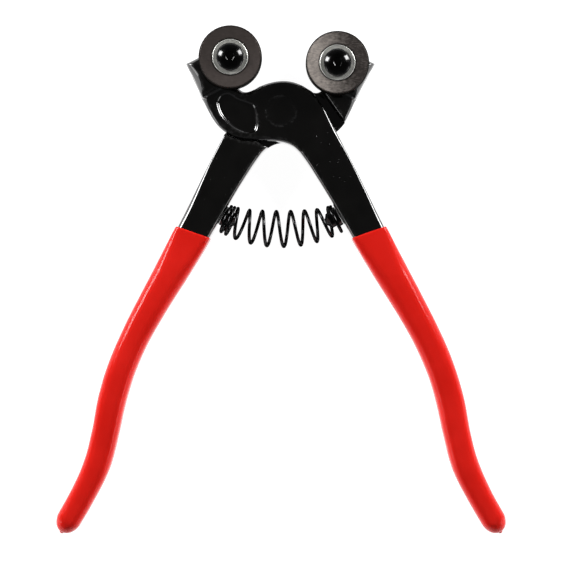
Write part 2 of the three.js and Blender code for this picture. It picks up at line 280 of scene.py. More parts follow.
# What a lever gives up of half its thickness between the lap's circle and its jaw's shoulder.
SHOULDER = [(-11.5, 11.5), (-24, -6), (-19, -12), (0, -12), (0, 11.5)]
# Two points on the line where a jaw's raised pad begins.
PAD_LINES = {1: [(-26, 4.85), (-20, 8)], -1: [(22.5, 5.7), (25.5, 4.1)]}

# Radius of a lever's rounded edges, and where it differs: (x, y, reach, radius) for side 1, with the jaw on
# the left, and for side -1. Small edges are closer to a chamfer, large ones to an arc: the power goes from
# EDGE_POWER at ARC_FROM_R to 2 over the next ARC_OVER_R.
EDGE_R = 1.1
EDGE_R_LIMITS = (0.45, 4.8)
EDGE_POWER = 1.4
ARC_FROM_R = 1.3
ARC_OVER_R = 1.4
SHOULDER_SPOTS = [(-31, 12, 4.6, 4.4), (-28.5, 6, 4.2, 3.8), (-26, 0, 4, 1.2)]
BACK_SHOULDER_SPOTS = [(-x, y, reach, r) for x, y, reach, r in SHOULDER_SPOTS[:2]]
SOFT_SPOTS = {
    1: SHOULDER_SPOTS + [(14, 1, 7, 0.5), (24, -16, 8, 0.45), (30, -28, 8, 0.65), (34, -37, 5, 1.1)],
    -1: BACK_SHOULDER_SPOTS + [(-18, -6, 8, 0.45), (-23, -16, 8, 0.45), (-33, -36, 7, 1.6)],
}
DRAFT = 0.05
FORGED_WAVE = 0.03
FORGED_WAVE_LONG = 4.5
LAP_EDGE_R = 0.3
LAP_FLARE = 1.1
VISUAL_LAP_R = 13.3
LAP_CORNER_R = 0.6
PAD_EDGE_R = 0.8
PAD_SLOPE = 0.45
PAD_FILLET = 0.9
PAD_FOOT_BLEND = 1.0
PAD_SHOULDER_LONG = 4
PAD_SHOULDER_LEAST = 0.15
PANEL_DEEP = 0.85
PANEL_FLOOR_R = 0.6
PANEL_RIM = 1.5
RIVET_MOUTH_IN = 0.3
HOLE_RIM = 0.5
GRID_MARGIN = 1.5
GRID_MARGIN_Z = 1.2
ABOVE = 4


def outline_points(runs):
    """A closed outline as dense points."""
    points = [runs[0][0]]
    for run in runs[1:]:
        if len(run) == 1:
            points.append(run[0])
            continue
        t = np.arange(1, len(run) * SPLINE_STEPS + 1) / (len(run) * SPLINE_STEPS)
        points.extend(map(tuple, catmull([points[-1], *run], t)))
    if np.allclose(points[0], points[-1]):
        points.pop()
    return np.array(points, float)


def distance_to(outline, x, y):
    """Signed distance in the plane from every grid point to a closed outline, negative inside."""
    nearest = np.full(x.shape, 1e9)
    inside = np.zeros(x.shape, bool)
    for (ax, ay), (bx, by) in zip(outline, np.roll(outline, -1, 0)):
        dx, dy = bx - ax, by - ay
        t = np.clip(((x - ax) * dx + (y - ay) * dy) / (dx * dx + dy * dy), 0, 1)
        nearest = np.minimum(nearest, (x - ax - t * dx) ** 2 + (y - ay - t * dy) ** 2)
        if ay != by:
            crosses = (ay > y) != (by > y)
            inside ^= crosses & (x < (y - ay) * dx / dy + ax)
    return np.where(inside, -1, 1) * np.sqrt(nearest)


def smooth_max(a, b, width):
    """The larger of two distances, with their crossing rounded over width."""
    blend = np.maximum(width - np.abs(a - b), 0) / width
    return np.maximum(a, b) + blend * blend * width / 4


def smooth_min(a, b, width):
    return -smooth_max(-a, -b, width)


def slab(flat, z, low, high, radius, power=2.0):
    """Distance to a flat shape standing from low to high, with its edges rounded to radius. A power of 2
    gives round edges and a smaller one comes closer to a chamfer."""
    side = flat + radius
    level = np.abs(z - (low + high) / 2) - ((high - low) / 2 - radius)
    outer = (np.maximum(side, 0) ** power + np.maximum(level, 0) ** power) ** (1 / power)
    return outer + np.minimum(np.maximum(side, level), 0) - radius


def value_noise(x, y, cell, seed):
    """Smooth seeded noise from -1 to 1 with features of about the cell's size."""
    table = np.random.default_rng(seed).uniform(-1, 1, (64, 64))
    u, v = x / cell + 31, y / cell + 31
    i, j = np.floor(u).astype(int), np.floor(v).astype(int)
    fu, fv = u - i, v - j
    fu, fv = fu * fu * (3 - 2 * fu), fv * fv * (3 - 2 * fv)

    def pick(a, b):
        return table[a % 64, b % 64]

    low = pick(i, j) * (1 - fu) + pick(i + 1, j) * fu
    high = pick(i, j + 1) * (1 - fu) + pick(i + 1, j + 1) * fu
    return low * (1 - fv) + high * fv


def lever_field(side):
    """The grid's axes and a lever's signed distance. side is 1 with the jaw on the left, or -1."""
    outline = outline_points(lever_runs(side)) * (side, 1)
    low = outline.min(0) - GRID_MARGIN
    high = outline.max(0) + GRID_MARGIN
    axes = [
        np.arange(low[0], high[0], GRID_STEP),
        np.arange(low[1], high[1], GRID_STEP),
        np.arange(BACK_Z - GRID_MARGIN_Z, PAD_Z + GRID_MARGIN_Z, GRID_STEP),
    ]
    x, y = np.meshgrid(axes[0], axes[1], indexing="ij")
    z = axes[2][None, None, :]
    flat = distance_to(outline, x, y)
    radius = np.full(x.shape, EDGE_R)
    for sx, sy, reach, soft in SOFT_SPOTS[side]:
        near = np.exp(-((x - sx) ** 2 + (y - sy) ** 2) / reach**2)
        radius += (soft - EDGE_R) * near
    radius = np.clip(radius, *EDGE_R_LIMITS)[:, :, None]
    power = EDGE_POWER + (2 - EDGE_POWER) * np.clip((radius - ARC_FROM_R) / ARC_OVER_R, 0, 1)
    forged = FORGED_WAVE * value_noise(x, y, FORGED_WAVE_LONG, NOISE_SEED + side)
    drafted = flat[:, :, None] + DRAFT * np.abs(z - MID_Z)
    field = slab(drafted, z, BACK_Z, FACE_Z, radius, power)

    (ax, ay), (bx, by) = PAD_LINES[side]
    length = math.hypot(bx - ax, by - ay)
    beyond = -((bx - ax) * (y - ay) - (by - ay) * (x - ax)) / length
    foot = beyond[:, :, None] + PAD_SLOPE * np.maximum(z - FACE_Z, 0)
    pad = smooth_max(drafted, foot, PAD_FOOT_BLEND)
    shoulder = np.clip(1 - np.exp(-(beyond[:, :, None] / PAD_SHOULDER_LONG) ** 2), PAD_SHOULDER_LEAST, 1)
    pad_r = np.clip(PAD_EDGE_R + (radius - PAD_EDGE_R) * shoulder, EDGE_R_LIMITS[0], PAD_Z - MID_Z - 1)
    raised = slab(pad, z, MID_Z + LAP_GAP, PAD_Z, pad_r, power)
    field = smooth_min(field, raised, PAD_FILLET)

    turn = math.radians(-side * LAP_CLEAR_DEG)
    other = outline_points(lever_runs(-side)) * (-side, 1)
    spin = np.array([[math.cos(turn), -math.sin(turn)], [math.sin(turn), math.cos(turn)]])
    lap = distance_to(other @ spin.T, x, y)
    lap = smooth_min(lap, np.hypot(x, y) - VISUAL_LAP_R, LAP_CORNER_R)
    lap = smooth_min(lap, distance_to(np.array(SHOULDER) * (side, 1), x, y), LAP_CORNER_R)
    face = np.minimum(LAP_FLARE, np.maximum(side * (MID_Z - z) - (FACE_Z - MID_Z - LAP_FLARE), 0))
    flare = LAP_FLARE - np.sqrt(LAP_FLARE**2 - face**2)
    level = side * (z - MID_Z) - LAP_GAP / 2
    field = smooth_max(field, -np.maximum(lap[:, :, None] - flare, level), LAP_EDGE_R)

    if side > 0:
        panel = distance_to(outline_points(PANEL_RUNS), x, y)
        sink = slab(panel[:, :, None], z, FACE_Z - PANEL_DEEP, FACE_Z + ABOVE, PANEL_FLOOR_R)
        field = smooth_max(field, -sink, PANEL_RIM)
        mouth = (np.hypot(x, y) - RIVET_FACE_R + RIVET_MOUTH_IN)[:, :, None]
        mouth = slab(mouth, z, FACE_Z - 1, FACE_Z + ABOVE, 0.1)
        field = np.maximum(field, -mouth)
    hole = np.hypot(x, y) - RIVET_HOLE_R
    screw = LEFT_SCREW if side > 0 else RIGHT_SCREW
    hole = np.minimum(hole, np.hypot(x - screw[0], y - screw[1]) - SCREW_HOLE_R)
    field = smooth_max(field, -hole[:, :, None], HOLE_RIM)
    return axes, field + forged[:, :, None]


def surface_net(axes, field):
    """The zero surface of a grid of distances: one point in each cell that it crosses, joined by quads."""
    inside = field < 0
    corners = [(i, j, k) for i in (0, 1) for j in (0, 1) for k in (0, 1)]
    shape = [n - 1 for n in field.shape]

    def part(a, c):
        return a[c[0] : c[0] + shape[0], c[1] : c[1] + shape[1], c[2] : c[2] + shape[2]]

    count = sum(part(inside, c).astype(np.int8) for c in corners)
    active = (count > 0) & (count < 8)
    index = np.full(shape, -1)
    index[active] = np.arange(active.sum())
    cells = np.argwhere(active)
    total, hits = np.zeros((len(cells), 3)), np.zeros(len(cells))
    for a in corners:
        for axis in range(3):
            if a[axis]:
                continue
            b = tuple(v + (n == axis) for n, v in enumerate(a))
            fa = field[tuple((cells + a).T)]
            fb = field[tuple((cells + b).T)]
            cross = (fa < 0) != (fb < 0)
            share = fa[cross] / (fa[cross] - fb[cross])
            total[cross] += np.array(a) + share[:, None] * np.eye(3)[axis]
            hits[cross] += 1
    origin = np.array([a[0] for a in axes])
    points = origin + GRID_STEP * (cells + total / hits[:, None])
    faces = []
    for axis in range(3):
        u, v = np.eye(3, dtype=int)[(axis + 1) % 3], np.eye(3, dtype=int)[(axis + 2) % 3]
        size = [n - (k == axis) for k, n in enumerate(field.shape)]
        here = inside[: size[0], : size[1], : size[2]]
        shift = np.eye(3, dtype=int)[axis]
        there = inside[shift[0] :, shift[1] :, shift[2] :]
        edges = np.argwhere(here != there)
        leaving = here[tuple(edges.T)]
        quad = [index[tuple((edges - o).T)] for o in (u * 0, u, u + v, v)]
        quad = np.stack(quad, 1)
        quad[~leaving] = quad[~leaving][:, ::-1]
        faces.append(quad)
    return points, np.concatenate(faces)


def sample(field, axes, points):
    """Field values between grid points, by linear steps along each axis."""
    place = (points - [a[0] for a in axes]) / GRID_STEP
    place = np.clip(place, 0, np.array(field.shape) - 1.001)
    i = place.astype(int)
    w = place - i
    result = 0
    for a in (0, 1):
        for b in (0, 1):
            for c in (0, 1):
                share = np.prod(np.where([a, b, c], w, 1 - w), axis=1)
                result = result + share * field[i[:, 0] + a, i[:, 1] + b, i[:, 2] + c]
    return result


def settle(axes, field, points, faces, rounds=2):
    """Evens out the net along the surface and brings its points back onto it. Gives points and normals."""
    slopes = np.gradient(field, GRID_STEP)
    pairs = np.concatenate([faces[:, [0, 1]], faces[:, [1, 2]], faces[:, [2, 3]], faces[:, [3, 0]]])
    degree = np.maximum(np.bincount(pairs[:, 0], minlength=len(points)), 1)[:, None]
    for _ in range(rounds):
        spread = [np.bincount(pairs[:, 0], points[pairs[:, 1], k], len(points)) for k in range(3)]
        points = 0.5 * points + 0.5 * np.stack(spread, 1) / degree
        normal = np.stack([sample(g, axes, points) for g in slopes], 1)
        size = np.maximum((normal**2).sum(1), 0.2)
        points = points - normal * (sample(field, axes, points) / size)[:, None]
    normal = np.stack([sample(g, axes, points) for g in slopes], 1)
    return points, normal / np.linalg.norm(normal, axis=1, keepdims=True)


# Centre line and half widths of a handle, grip included, on the right-hand side from the arm down.
HANDLE_LINE = [(27.6, -36.4), (32.4, -45.2), (38.8, -56.5), (45.3, -67.8), (51.3, -79), (56.2, -90.3),
               (59.6, -101.6), (61.9, -112.9), (64.9, -124.2), (70.2, -135.5), (77.6, -148.3)]
HANDLE_HALF = [6.25, 6.3, 5.95, 5.4, 5.05, 4.95, 4.98, 4.75, 4.75, 4.4, 4.25]
GRIP_TAPER = 0.9
TANG_START = 0.085
TANG_END = 0.945
TANG_SIDE_IN = 1.3
TANG_DEEP_IN = 1.4
TANG_POWER = 4
TANG_ROUND = 3.7
TANG_ROUND_LONG = 0.012
TANG_SIDES = 24


def handle_rings(side, stations, sides):
    """Rings of points along a handle. A station is (t, sideways inset, inset above and below, power,
    slant): t runs down the handle, and slant moves the outer edge of the ring along it, in t."""
    turn = 2 * math.pi * np.arange(sides) / sides
    rings = []
    for t, side_in, deep_in, power, slant in stations:
        half = np.interp(t * (len(HANDLE_HALF) - 1), range(len(HANDLE_HALF)), HANDLE_HALF)
        wide = max(half - side_in, 0.02)
        deep = max(MID_Z - GRIP_TAPER * max(0, t - 0.5) - deep_in, 0.02)
        u = np.sign(np.cos(turn)) * np.abs(np.cos(turn)) ** (2 / power)
        v = np.sign(np.sin(turn)) * np.abs(np.sin(turn)) ** (2 / power)
        along = np.clip(t + slant * u, 0, 1)
        middle = catmull(HANDLE_LINE, along)
        slope = catmull_slope(HANDLE_LINE, along)
        across = np.stack([-slope[:, 1], slope[:, 0]], 1)
        place = middle + across * (wide * u)[:, None]
        rings.append(np.stack([side * place[:, 0], place[:, 1], MID_Z + deep * v], 1))
    return np.concatenate(rings)


def tang(side):
    """The bare steel end of a lever inside its grip."""
    stations = [(t, TANG_SIDE_IN, TANG_DEEP_IN, TANG_POWER, 0) for t in np.linspace(TANG_START, TANG_END, 40)]
    for a in np.linspace(0.3, 1.5, 5):
        t = TANG_END + TANG_ROUND_LONG * math.sin(a)
        side_in = TANG_SIDE_IN + TANG_ROUND * (1 - math.cos(a))
        deep_in = TANG_DEEP_IN + TANG_ROUND * (1 - math.cos(a))
        stations.append((t, side_in, deep_in, TANG_POWER, 0))
    points = handle_rings(side, stations, TANG_SIDES)
    faces = grid_faces(len(stations), TANG_SIDES)
    return points, faces if side < 0 else [f[::-1] for f in faces]


def lever(name, side):
    """A whole lever: the forging, and the tang that starts inside its end and runs down the grip."""
    axes, field = lever_field(side)
    points, faces = surface_net(axes, field)
    points, normals = settle(axes, field, points, faces)
    tang_points, tang_faces = tang(side)
    count = len(points)
    all_faces = faces.tolist() + [[count + k for k in f] for f in tang_faces]
    piece = mesh_piece(name, np.concatenate([points, tang_points]), all_faces)
    centre = tang_points.mean(0)
    outwards = tang_points - centre
    outwards[:, :2] = 0
    outwards[:, 2] = np.sign(outwards[:, 2]) + 1e-3
    every = np.concatenate([normals, outwards / np.linalg.norm(outwards, axis=1, keepdims=True)])
    piece.data.normals_split_custom_set_from_vertices(every.tolist())
    edge_share(piece, 1.6)
    return piece


# ---------------------------------------------------------------------------------------------------
# Grips
# ---------------------------------------------------------------------------------------------------

GRIP_START = 0.0725
GRIP_SLANT = 0.0085
GRIP_SIDES = 56
LIP_R = 0.55
LIP_IN = 0.52
GRIP_CLEAR = 0.02
GRIP_POWER = 3
SOCKET_POWER = 4
SOCKET_END = 0.955
SKIN_END = 0.958
SWELL = 0.07
RIPPLE = 0.035
HANDLE_LONG = 127.0


def grip(name, side):
    """A dipped sleeve: an outer skin, a rolled lip where it starts on the arm, a hollow for the tang, and a
    rounded end with the little nub that the last drip leaves."""

    def fade(t):
        """The slant of the sleeve's mouth, which dies out along the grip."""
        return GRIP_SLANT * max(0.0, 1 - (t - GRIP_START) / 0.09)

    def square(t):
        """The section's power: squarer at the mouth, where it follows the arm, and rounder lower down."""
        return GRIP_POWER + 4 * max(0.0, 1 - (t - GRIP_START) / 0.14) ** 1.5

    stations = []
    for t in np.linspace(SOCKET_END, GRIP_START + 0.05, 24):
        stations.append((t, 0.8, 1.0, SOCKET_POWER, fade(t)))
    for depth, side_in in ((0.035, 0.7), (0.018, 0.55), (0.006, 0.5)):
        t = GRIP_START + depth
        stations.append((t, side_in, 1.05, square(t), fade(t)))
    for degrees in np.linspace(-90, 90, 9):
        a = math.radians(degrees)
        t = GRIP_START + LIP_R / HANDLE_LONG * (1 - math.cos(a))
        inset = LIP_IN / 2 * (1 - math.sin(a))
        stations.append((t, inset, inset * 2.1, square(t), fade(t)))
    for t in np.linspace(GRIP_START + 0.009, SKIN_END, 90):
        swell = SWELL * math.sin(t * 23 + side) * math.sin(t * 9.1)
        stations.append((t, -0.02 * (t < 0.2) - swell * 0.5, -swell * 0.3, square(t), fade(t)))
    round_end = [(0.966, 0.25), (0.974, 0.72), (0.981, 1.35), (0.9865, 2.05), (0.9905, 2.75), (0.9928, 3.3)]
    nub = [(0.9942, 3.5), (0.9958, 3.58), (0.9975, 3.66), (0.9988, 3.82), (0.9996, 4.05), (1.0, 4.5)]
    for t, inset in round_end + nub:
        stations.append((t, inset * 0.97, inset * 1.33, 2.3, 0))
    points = handle_rings(side, stations, GRIP_SIDES)
    turn = np.arange(len(points)) % GRIP_SIDES
    ripple = RIPPLE * value_noise(points[:, 1] + turn * 0.21, points[:, 0], 5.0, NOISE_SEED + 7 + side)
    points[:, 2] += ripple * np.sign(points[:, 2] - MID_Z)
    points[:, 2] = np.clip(points[:, 2], GRIP_CLEAR, 2 * MID_Z - GRIP_CLEAR)
    faces = grid_faces(len(stations), GRIP_SIDES)
    piece = mesh_piece(name, points, faces if side < 0 else [f[::-1] for f in faces])
    edge_share(piece, 0.8)
    return piece


# ---------------------------------------------------------------------------------------------------
# Wheels, hubs, screws and rivet
# ---------------------------------------------------------------------------------------------------


def wheel(name, centre):
    """Ground wheel: bevelled rims, a counterbore for the hub's flange and a bore for its sleeve."""
    low, top = WHEEL_Z, WHEEL_TOP_Z
    seat = top - HUB_SEAT_DEEP
    ring = [
        (WHEEL_BORE_R + 0.15, low), (WHEEL_R - 0.62, low, 0.08), (WHEEL_R, low + 0.62, 0.12),
        (WHEEL_R, top - 0.55, 0.1), (WHEEL_R - 0.5, top, 0.08), (WHEEL_R - 0.75, top, 0),
        (HUB_SEAT_R + 0.5, top, 0), (HUB_SEAT_R + 0.14, top, 0.08),
        (HUB_SEAT_R, top - 0.16, 0.05), (HUB_SEAT_R, seat, 0.1), (WHEEL_BORE_R, seat, 0.1),
        (WHEEL_BORE_R, low + 0.15, 0.05), (WHEEL_BORE_R + 0.15, low),
    ]
    piece = turned(name, rounded(ring, 0.1), centre, sides=180, sharp_deg=50)
    edge_share(piece, 0.35, passes=1)
    return piece


def hub(name, centre):
    """Zinc-plated bush: a flat flange with a slim raised rim round it."""
    top = HUB_TOP_Z
    under = WHEEL_TOP_Z - HUB_SEAT_DEEP + 0.05
    ring = [
        (SCREW_HOLE_R, WHEEL_Z, 0), (HUB_SLEEVE_R - 0.15, WHEEL_Z, 0), (HUB_SLEEVE_R, WHEEL_Z + 0.15),
        (HUB_SLEEVE_R, under), (HUB_R, under), (HUB_R, top - 0.2, 0.15), (HUB_R - 0.2, top, 0.12),
        (HUB_R - 0.38, top, 0.1), (HUB_R - 0.46, top - 0.06, 0.06), (BUTTON_R, top - 0.06, 0.1),
        (BUTTON_R - 0.2, top, 0.1), (SCREW_HOLE_R + 0.2, top, 0.1), (SCREW_HOLE_R, top - 0.2),
        (SCREW_HOLE_R, WHEEL_Z, 0),
    ]
    piece = turned(name, rounded(ring, 0.08), centre, sides=144, sharp_deg=60)
    edge_share(piece, 0.3, passes=1)
    return piece


SOCKET_FLATS = 3
SOCKET_DEEP = 1.7
SOCKET_RIM_R = 2.1
DOME_R = 6.9
BUTTON_LAND = 0.8
SCREW_SIDES = 96
SCREW_TIP_R = 1.7
THREAD_PITCH = 0.8
THREAD_STEPS = 8
THREAD_ROOT_R = 2.05
THREAD_DEEP = 0.4


def screw(name, centre):
    """M5 button-head screw: threaded shank, domed head and hexagon socket. Rings of the head turn from
    circles into the socket's hexagon, whose corners fall on ring points."""
    seat = HUB_TOP_Z + 0.05
    rise = SCREW_TOP_Z + dome_lost() - seat - BUTTON_LAND
    dome_r = (BUTTON_R**2 + rise**2) / (2 * rise)
    turn = 2 * math.pi * np.arange(SCREW_SIDES) / SCREW_SIDES
    wedge = np.mod(turn, math.pi / 3) - math.pi / 6
    hexagon = SOCKET_FLATS / 2 / np.cos(wedge)
    circle = np.ones(SCREW_SIDES)

    def dome_z(r):
        return seat + BUTTON_LAND + rise - (dome_r - np.sqrt(dome_r**2 - r**2))

    rings = [(circle * SCREW_TIP_R, SCREW_END_Z), (circle * THREAD_ROOT_R, SCREW_END_Z)]
    rings.append((circle * 2.4, SCREW_END_Z + 0.4))
    steps = int((WHEEL_Z - 1.5 - SCREW_END_Z) / THREAD_PITCH * THREAD_STEPS)
    for k in range(2, steps):
        z = SCREW_END_Z + k * THREAD_PITCH / THREAD_STEPS
        groove = 0.5 + 0.5 * np.cos(turn - 2 * math.pi * k / THREAD_STEPS)
        rings.append((THREAD_ROOT_R + THREAD_DEEP * groove, z))
    rings += [(circle * SCREW_R, WHEEL_Z - 1), (circle * SCREW_R, seat - 0.3)]
    rings += [(circle * (SCREW_R + 0.12), seat), (circle * (BUTTON_R - 0.12), seat)]
    rings += [(circle * BUTTON_R, seat + 0.1), (circle * BUTTON_R, seat + BUTTON_LAND - 0.08)]
    for r in np.linspace(BUTTON_R - 0.06, SOCKET_RIM_R, 14):
        rings.append((circle * r, dome_z(circle * r)))
    for w in (0.35, 0.7, 1.0):
        r = SOCKET_RIM_R * (1 - w) + (hexagon + 0.1) * w
        rings.append((r, dome_z(r)))
    rings.append((hexagon, dome_z(hexagon) - 0.07))
    base = SCREW_TOP_Z - SOCKET_DEEP
    rings += [(hexagon, base + 0.1), (hexagon * 0.9, base), (hexagon * 0.45, base - 0.25)]
    rings.append((circle * 0.02, base - 0.5))
    points = []
    for r, z in rings:
        height = np.broadcast_to(z, turn.shape)
        points.append(np.stack([centre[0] + r * np.cos(turn), centre[1] + r * np.sin(turn), height], 1))
    piece = mesh_piece(name, np.concatenate(points), grid_faces(len(rings), SCREW_SIDES), sharp_deg=42)
    edge_share(piece, 0.35, passes=1)
    return piece


def dome_lost():
    """How far the whole dome would stand above the socket's rim at the middle of a flat, the highest point
    that is left of it and so the top of the frame's box."""
    return (SOCKET_FLATS / 2) ** 2 / (2 * DOME_R)


def rivet(name):
    """Pivot rivet: riveted flush in front, with a faint ring round it, and a low domed head behind."""
    low, top = 0.0, FACE_Z + 0.05
    profile = [
        (0, low), (RIVET_HEAD_R - 1, low, 0.8), (RIVET_HEAD_R, BACK_Z * 0.5, 0.3),
        (RIVET_HEAD_R, BACK_Z - 0.06, 0.05), (RIVET_R, BACK_Z - 0.06, 0), (RIVET_R, top - 1.3, 0),
        (RIVET_FACE_R - 0.4, top - 0.5, 0), (RIVET_FACE_R - 0.4, top - 0.05, 0),
        (RIVET_FACE_R, top - 0.05, 0), (RIVET_FACE_R - 0.3, top, 0.3), (0, top),
    ]
    piece = turned(name, rounded(profile, 0.1), sides=128, sharp_deg=60)
    edge_share(piece, 0.6, passes=1)
    return piece


# ---------------------------------------------------------------------------------------------------
# Return spring and its posts
# ---------------------------------------------------------------------------------------------------

WIRE_R = 0.6
COIL_END_R = 4.75
COIL_MID_R = 6.2
COIL_DEEP_R = 5.95
LEFT_COILS = 2
FREE_COILS = 7
RIGHT_COILS = 1
LEFT_LONG = 3.1
RIGHT_LONG = 1.3
SPRING_END = (19.75, -37.35)
SPRING_BEND = (10.4, -42.4)
POST_AT = (20.35, -36.4)
POST_TURN = 29.5
POST_R = 2.8
POST_LONG = 5.2
POST_FOOT_R = 3.5
POST_FOOT_LONG = 2
POST_GAP = 0.1


def spring_axis(samples=400):
    """The spring's middle line and its tangents, at even steps of length."""
    ends = np.array([(-SPRING_END[0], SPRING_END[1]), (-SPRING_BEND[0], SPRING_BEND[1]), SPRING_BEND,
                     SPRING_END])
    w = np.linspace(0, 1, samples)[:, None]
    line = ((1 - w) ** 3 * ends[0] + 3 * w * (1 - w) ** 2 * ends[1] + 3 * w * w * (1 - w) * ends[2]
            + w**3 * ends[3])
    run = np.concatenate([[0], np.cumsum(np.linalg.norm(np.diff(line, axis=0), axis=1))])
    even = np.linspace(0, run[-1], samples)
    line = np.stack([np.interp(even, run, line[:, k]) for k in (0, 1)], 1)
    slope = np.gradient(line, axis=0)
    return line, slope / np.linalg.norm(slope, axis=1, keepdims=True), run[-1]


def spring(name, steps=44, sides=14):
    """Barrel-shaped compression spring of round wire with closed end coils."""
    line, slope, length = spring_axis()
    coils = LEFT_COILS + FREE_COILS + RIGHT_COILS
    turn = np.linspace(0, coils, coils * steps + 1)
    first = LEFT_LONG / length
    last = 1 - RIGHT_LONG / length
    free = np.clip((turn - LEFT_COILS) / FREE_COILS, 0, 1)
    share = first + (last - first) * (free - 0.012 * np.sin(2 * math.pi * free))
    share += np.minimum(turn / LEFT_COILS - 1, 0) * first
    share += np.maximum((turn - LEFT_COILS - FREE_COILS) / RIGHT_COILS, 0) * (1 - last)
    place = share * (len(line) - 1)
    middle = np.stack([np.interp(place, np.arange(len(line)), line[:, k]) for k in (0, 1)], 1)
    along = np.stack([np.interp(place, np.arange(len(line)), slope[:, k]) for k in (0, 1)], 1)
    radius = COIL_END_R + (COIL_MID_R - COIL_END_R) * np.sin(math.pi * share)
    out = radius * np.cos(2 * math.pi * turn)
    up = np.minimum(radius, COIL_DEEP_R) * np.sin(2 * math.pi * turn)
    path = np.stack([middle[:, 0] - along[:, 1] * out, middle[:, 1] + along[:, 0] * out, MID_Z + up], 1)
    tangent = np.gradient(path, axis=0)
    tangent /= np.linalg.norm(tangent, axis=1, keepdims=True)
    inwards = np.stack([middle[:, 0], middle[:, 1], np.full(len(turn), MID_Z)], 1) - path
    inwards -= tangent * (inwards * tangent).sum(1)[:, None]
    inwards /= np.linalg.norm(inwards, axis=1, keepdims=True)
    beside = np.cross(tangent, inwards)
    angle = 2 * math.pi * np.arange(sides) / sides
    thick = np.full(len(turn), WIRE_R)
    thick[[0, -1]] = WIRE_R * 0.8
    points = (path[:, None, :] + thick[:, None, None] * (np.cos(angle)[None, :, None] * inwards[:, None, :]
              + np.sin(angle)[None, :, None] * beside[:, None, :]))
    piece = mesh_piece(name, points.reshape(-1, 3), grid_faces(len(turn), sides), sharp_deg=60)
    edge_share(piece, 0.2)
    return piece


def post(name, side):
    """A turned stud with a wider foot at the lever and a conical nose that the spring slips over."""
    profile = [
        (0, 0), (POST_FOOT_R, 0, 0), (POST_FOOT_R, POST_FOOT_LONG, 0.25),
        (POST_R, POST_FOOT_LONG + 0.1, 0.15), (POST_R, POST_LONG - 1.5, 0.35),
        (0.75, POST_LONG + 0.1, 0.5), (0, POST_LONG + 0.15),
    ]
    piece = turned(name, rounded(profile, 0.2), sides=64, sharp_deg=50)
    slope = math.radians(POST_TURN)
    inwards = Vector((-side * math.cos(slope), -math.sin(slope), 0))
    turn = Vector((0, 0, 1)).rotation_difference(inwards).to_matrix().to_4x4()
    foot = Vector((side * POST_AT[0], POST_AT[1], MID_Z)) + inwards * POST_GAP
    piece.data.transform(Matrix.Translation(foot * MM) @ turn)
    edge_share(piece, 0.5)
    return piece


# ---------------------------------------------------------------------------------------------------
# Materials
# ---------------------------------------------------------------------------------------------------


class Nodes:
    """A material's node tree, with short ways to add to it. Positions are the object's own, in metres."""

    def __init__(self, name, **sockets):
        self.material = bpy.data.materials.new(name)
        self.material.use_nodes = True
        self.tree = self.material.node_tree
        self.shader = self.tree.nodes["Principled BSDF"]
        for socket, value in sockets.items():
            self.shader.inputs[socket.replace("_", " ")].default_value = value
        self.place = self.add("ShaderNodeTexCoord").outputs["Object"]

    def add(self, kind, settings=None, **links):
        node = self.tree.nodes.new(kind)
        for key, value in (settings or {}).items():
            setattr(node, key, value)
        for key, value in links.items():
            self.into(node.inputs[key.replace("_", " ")], value)
        return node

    def into(self, socket, value):
        if isinstance(value, bpy.types.NodeSocket):
            self.tree.links.new(value, socket)
        else:
            socket.default_value = value

    def noise(self, scale, detail=3.0, roughness=0.5, place=None):
        node = self.add("ShaderNodeTexNoise", Vector=place or self.place, Scale=scale, Detail=detail,
                        Roughness=roughness)
        return node.outputs["Fac"]

    def spots(self, scale, radius, place=None):
        """1 at the middle of scattered dots, 0 outside radius, in the texture's own units."""
        node = self.add("ShaderNodeTexVoronoi", Vector=place or self.place, Scale=scale)
        return self.span(node.outputs["Distance"], radius, 0, 0, 1)

    def span(self, value, low, high, to_low, to_high):
        node = self.add("ShaderNodeMapRange")
        for key, number in (("Value", value), ("From Min", low), ("From Max", high), ("To Min", to_low),
                            ("To Max", to_high)):
            self.into(node.inputs[key], number)
        return node.outputs["Result"]

    def maths(self, operation, a, b):
        node = self.add("ShaderNodeMath", {"operation": operation})
        self.into(node.inputs[0], a)
        self.into(node.inputs[1], b)
        return node.outputs[0]

    def mix(self, share, a, b):
        node = self.add("ShaderNodeMix", {"data_type": "RGBA"})
        self.into(node.inputs["Factor"], share)
        self.into(node.inputs["A"], (*a, 1) if isinstance(a, tuple) else a)
        self.into(node.inputs["B"], (*b, 1) if isinstance(b, tuple) else b)
        return node.outputs["Result"]

    def edge(self):
        return self.add("ShaderNodeAttribute", {"attribute_name": "edge"}).outputs["Fac"]

    def bump(self, height, distance, strength=1.0, normal=None):
        node = self.add("ShaderNodeBump", Height=height, Distance=distance, Strength=strength)
        if normal is not None:
            self.tree.links.new(normal, node.inputs["Normal"])
        return node.outputs["Normal"]

    def paint(self, **sockets):
        for socket, value in sockets.items():
            self.into(self.shader.inputs[socket.replace("_", " ")], value)
        return self.material


